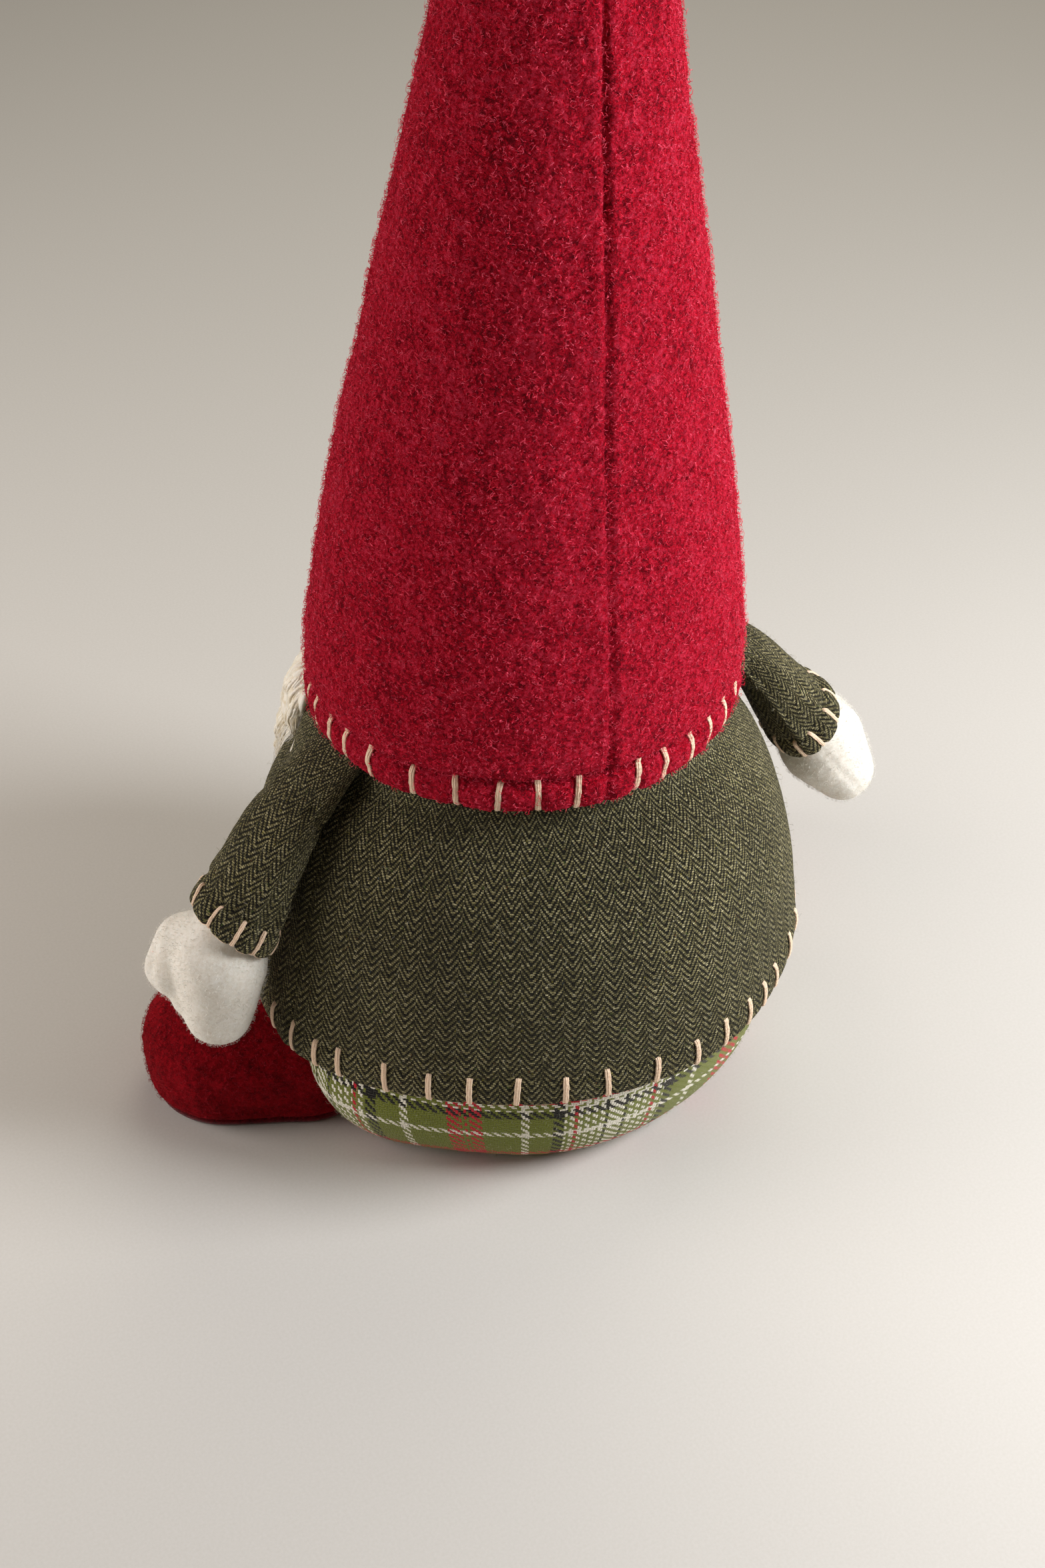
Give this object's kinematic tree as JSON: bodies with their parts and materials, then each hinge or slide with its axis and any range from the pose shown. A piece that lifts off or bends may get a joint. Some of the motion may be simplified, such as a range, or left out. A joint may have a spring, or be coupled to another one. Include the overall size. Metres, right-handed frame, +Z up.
{
  "type": "seated tomte gnome figurine",
  "caption": "Seated stuffed cloth gnome with a tall felt cone hat, tweed coat, tartan seat, wool beard, mittens and felt shoes, on limp sewn arms and feet.",
  "frame": {"origin": "centre of the flat seat panel, on the surface the figure rests on and under the body's axis", "axes": "+Z up, the face looks along -Y, the figure's left hand is at +X"},
  "size_m": [0.2458, 0.1805, 0.4839],
  "materials": {
    "tartan_flannel": "woven twill flannel in a green, cream, black and red check",
    "board": "stiff grey-brown board",
    "pellets": "cotton bag of pellets",
    "fibre_filling": "loose white fibre",
    "cotton_lining": "plain cotton",
    "tweed": "dark olive herringbone wool tweed",
    "thread": "beige multi-strand thread",
    "red_felt": "fuzzy boiled-wool felt",
    "crimson_felt": "fuzzy boiled-wool felt",
    "sole_felt": "dense felt",
    "nose_knit": "fine stretch knit",
    "cream_wool": "wavy carded wool locks",
    "beard_tape": "woven tape",
    "white_felt": "fuzzy off-white needle felt"
  },
  "bodies": {
    "torso": {"seat_panel": "tartan_flannel", "base_board": "board", "ballast_bag": "pellets", "tartan_seat": "tartan_flannel", "body_filling": "fibre_filling", "torso_bag": "cotton_lining", "coat": "tweed", "coat_hem_stitches": "thread", "hat": "red_felt", "hat_filling": "fibre_filling", "hat_hem_stitches": "thread", "nose_cover": "nose_knit", "nose_filling": "fibre_filling", "beard_locks": "cream_wool", "beard_backing": "beard_tape"},
    "left_arm": {"left_sleeve": "tweed", "left_sleeve_filling": "fibre_filling", "left_mitten": "white_felt", "left_mitten_filling": "fibre_filling", "left_cuff_stitches": "thread"},
    "left_foot": {"left_shoe_upper": "crimson_felt", "left_shoe_filling": "fibre_filling", "left_shoe_sole": "sole_felt", "left_trouser_leg": "tartan_flannel"},
    "right_arm": {"right_sleeve": "tweed", "right_sleeve_filling": "fibre_filling", "right_mitten": "white_felt", "right_mitten_filling": "fibre_filling", "right_cuff_stitches": "thread"},
    "right_foot": {"right_shoe_upper": "crimson_felt", "right_shoe_filling": "fibre_filling", "right_shoe_sole": "sole_felt", "right_trouser_leg": "tartan_flannel"}
  },
  "joints": [
    {"name": "left_shoulder", "type": "hinge", "parent": "torso", "child": "left_arm", "pos_m": [0.0672, 0, 0.12], "axis": [0, -1, 0], "range_deg": [0, 50]},
    {"name": "right_shoulder", "type": "hinge", "parent": "torso", "child": "right_arm", "pos_m": [-0.0672, 0, 0.122], "axis": [0.1392, 0.9903, 0], "range_deg": [0, 50]},
    {"name": "left_hip", "type": "hinge", "parent": "torso", "child": "left_foot", "pos_m": [0.07499, -0.01212, 0.017], "axis": [0, 0, 1], "range_deg": [-12, 12]},
    {"name": "right_hip", "type": "hinge", "parent": "torso", "child": "right_foot", "pos_m": [-0.07083, -0.02744, 0.017], "axis": [0, 0, 1], "range_deg": [-12, 12]}
  ]
}
